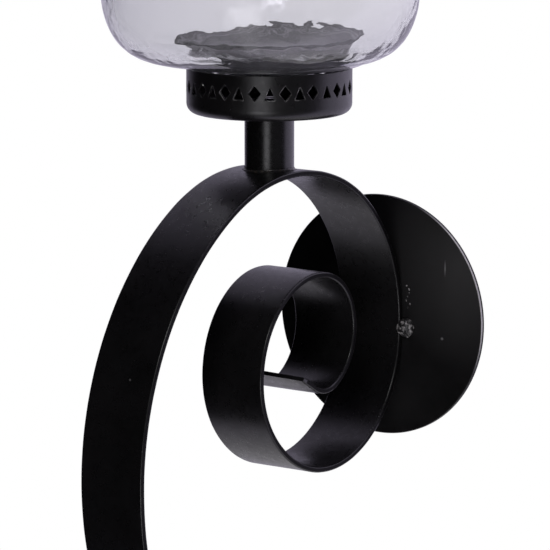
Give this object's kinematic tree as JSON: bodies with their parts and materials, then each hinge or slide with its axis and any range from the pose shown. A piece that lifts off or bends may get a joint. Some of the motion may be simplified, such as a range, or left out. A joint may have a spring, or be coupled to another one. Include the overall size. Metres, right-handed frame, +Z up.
{
  "type": "wall sconce candle holder",
  "caption": "Wall sconce: a scrolled flat-bar arm on a round wall plate holds a pierced cup with a glass globe and a candle pan.",
  "frame": {"origin": "centre of the wall plate's back face, in the plane of the wall", "axes": "+Z up, +Y into the wall, -Y towards the room, +X to the right for a person facing the wall"},
  "size_m": [0.1618, 0.2309, 0.4892],
  "materials": {
    "plate_paint": "satin black paint on steel",
    "black_paint": "satin black paint on steel bar and tube",
    "weld_paint": "glossy black paint over weld",
    "cup_paint": "satin black paint on pierced sheet steel",
    "pan_paint": "satin grey paint on spun steel",
    "plug_steel": "turned steel",
    "zinc": "zinc plated",
    "smoke_glass": "clear blown glass with a light smoke tint and a rippled surface"
  },
  "bodies": {
    "sconce": {"wall_plate": "plate_paint", "scroll_arm": "black_paint", "plate_weld_right": "weld_paint", "plate_weld_left": "weld_paint", "stem_tube": "black_paint", "stem_weld": "weld_paint", "stem_plug": "plug_steel", "gallery_cup": "cup_paint", "cup_washer": "zinc", "cup_screw": "zinc"},
    "globe": {"glass_globe": "smoke_glass"},
    "pan": {"candle_pan": "pan_paint"}
  },
  "joints": [
    {"name": "globe_lift", "type": "slide", "parent": "sconce", "child": "globe", "axis": [0, 0, 1], "range_m": [0, 0.06]},
    {"name": "pan_lift", "type": "slide", "parent": "globe", "child": "pan", "axis": [0, 0, 1], "range_m": [0, 0.16]}
  ]
}
